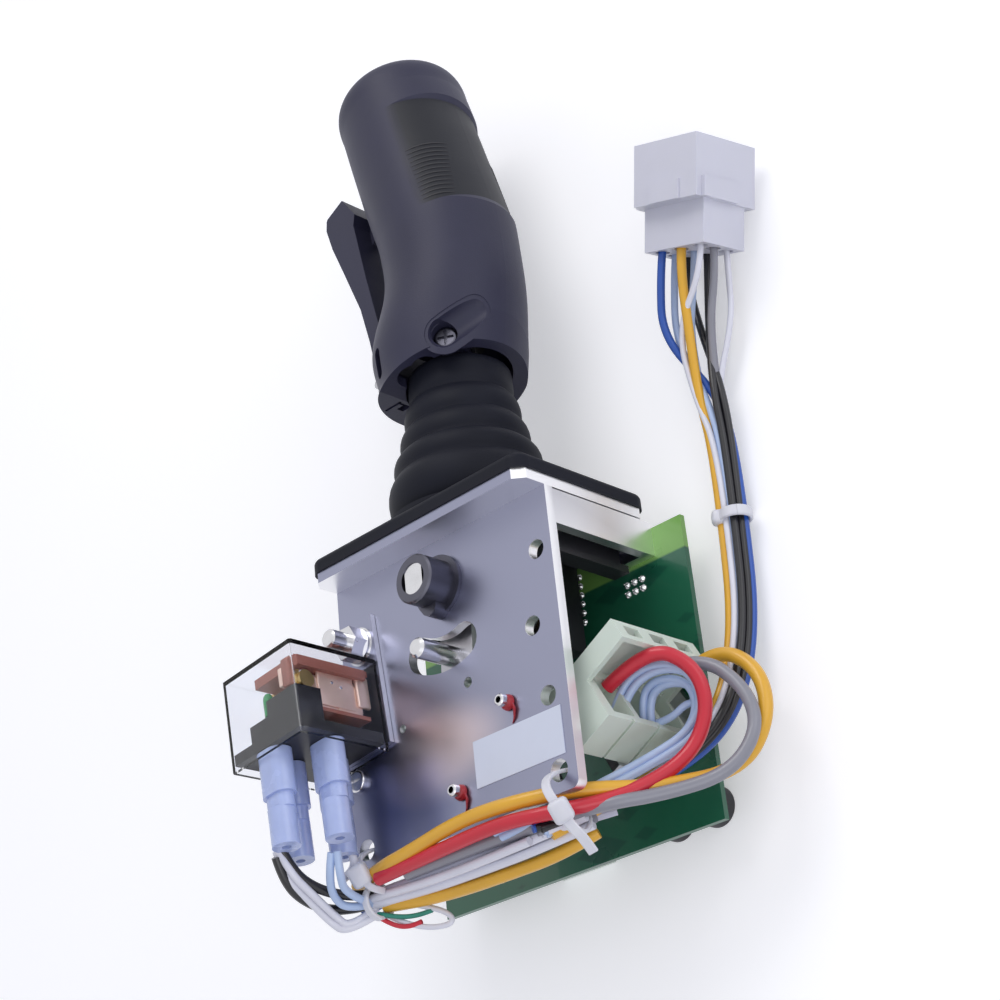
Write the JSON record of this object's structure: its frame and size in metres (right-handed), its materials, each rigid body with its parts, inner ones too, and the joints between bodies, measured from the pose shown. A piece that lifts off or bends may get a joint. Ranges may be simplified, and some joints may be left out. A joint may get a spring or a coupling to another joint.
{
  "type": "industrial joystick",
  "caption": "Single-axis industrial joystick: ergonomic grip with trigger and thumb rocker on a sprung lever, rubber boot, folded metal mount, circuit board, relay and wiring.",
  "frame": {"origin": "centre of the mounting plate's four-hole pattern, on the plate's top face, where the lever's axis crosses it", "axes": "+Y along the lever at rest, from the mounting plate to the top of the grip; +Z out of the bracket's front face, along the lever's pivot shaft; +X to the right along the long side of the mounting plate"},
  "size_m": [0.135, 0.2442, 0.0799],
  "materials": {
    "zinc_steel": "satin zinc plate",
    "bright_steel": "bright",
    "brass": "worn",
    "rubber_black": "matt",
    "grip_black": "fine grained",
    "plastic_black": "smooth",
    "board_green": "solder mask",
    "plastic_white": "smooth",
    "clear_cover": "clear plastic, scuffed",
    "bobbin_brown": "smooth",
    "copper_wire": "enamelled",
    "sleeve_blue": "soft vinyl",
    "wire_mixed": "vinyl insulation",
    "label_film": "film",
    "chip_dark": "moulded"
  },
  "bodies": {
    "frame": {"top_plate": "zinc_steel", "frame_bracket": "zinc_steel", "boot_flange": "rubber_black", "boot_bellows": "rubber_black", "pivot_bush_front": "bright_steel", "pivot_housing": "plastic_black", "pivot_bush_rear": "brass", "housing_screws": "bright_steel", "spring_anchor": "bright_steel", "centring_spring": "bright_steel", "position_sensor": "plastic_black", "circuit_board": "board_green", "board_screws": "bright_steel", "board_standoffs": "bright_steel", "standoff_screws": "bright_steel", "board_capacitors": "chip_dark", "board_blocks": "plastic_white", "board_chips": "chip_dark", "neutral_switch": "plastic_black", "switch_screws": "bright_steel", "switch_lever": "bright_steel", "board_plug": "plastic_white", "board_header": "bright_steel", "relay_cover": "clear_cover", "relay_base": "plastic_black", "relay_tab": "plastic_black", "relay_coil": "copper_wire", "relay_bobbin": "bobbin_brown", "relay_contacts": "brass", "relay_lamp": "plastic_white", "relay_terminals": "bright_steel", "terminal_sleeves": "sleeve_blue", "relay_stud": "bright_steel", "relay_nut": "bright_steel", "relay_washers": "bright_steel", "label_plate": "label_film", "frame_ties": "plastic_black", "harness_bundle": "wire_mixed", "harness_run": "wire_mixed", "relay_leads": "wire_mixed", "loop_wires": "wire_mixed", "plug_housing": "plastic_white", "plug_terminals": "bright_steel", "harness_ties": "plastic_black"},
    "lever": {"pivot_shaft": "bright_steel", "lever_hub": "bright_steel", "lever_rod": "bright_steel", "limit_pin": "bright_steel", "grip_half_front": "grip_black", "grip_half_back": "grip_black", "grip_cap": "grip_black", "grip_core": "plastic_black", "grip_screw": "bright_steel", "rocker_cradle": "plastic_black", "trigger_pin": "bright_steel", "trigger_switch": "plastic_black"},
    "trigger": {"trigger": "grip_black"},
    "rocker": {"thumb_rocker": "grip_black"}
  },
  "joints": [
    {"name": "lever_swing", "type": "hinge", "parent": "frame", "child": "lever", "pos_m": [0, -0.0152, 0], "axis": [0, 0, 1], "range_deg": [-19, 19], "stiffness_Nm_per_rad": 2, "deforming": ["boot_bellows", "centring_spring"]},
    {"name": "trigger_pull", "type": "hinge", "parent": "lever", "child": "trigger", "pos_m": [-0.0194, 0.0526, 0], "axis": [0, 0, 1], "range_deg": [-4, 0], "stiffness_Nm_per_rad": 0.3},
    {"name": "rocker_tip", "type": "hinge", "parent": "lever", "child": "rocker", "pos_m": [-0.01154, 0.14363, 0], "axis": [0, 0, 1], "range_deg": [-7, 7], "stiffness_Nm_per_rad": 0.1}
  ]
}
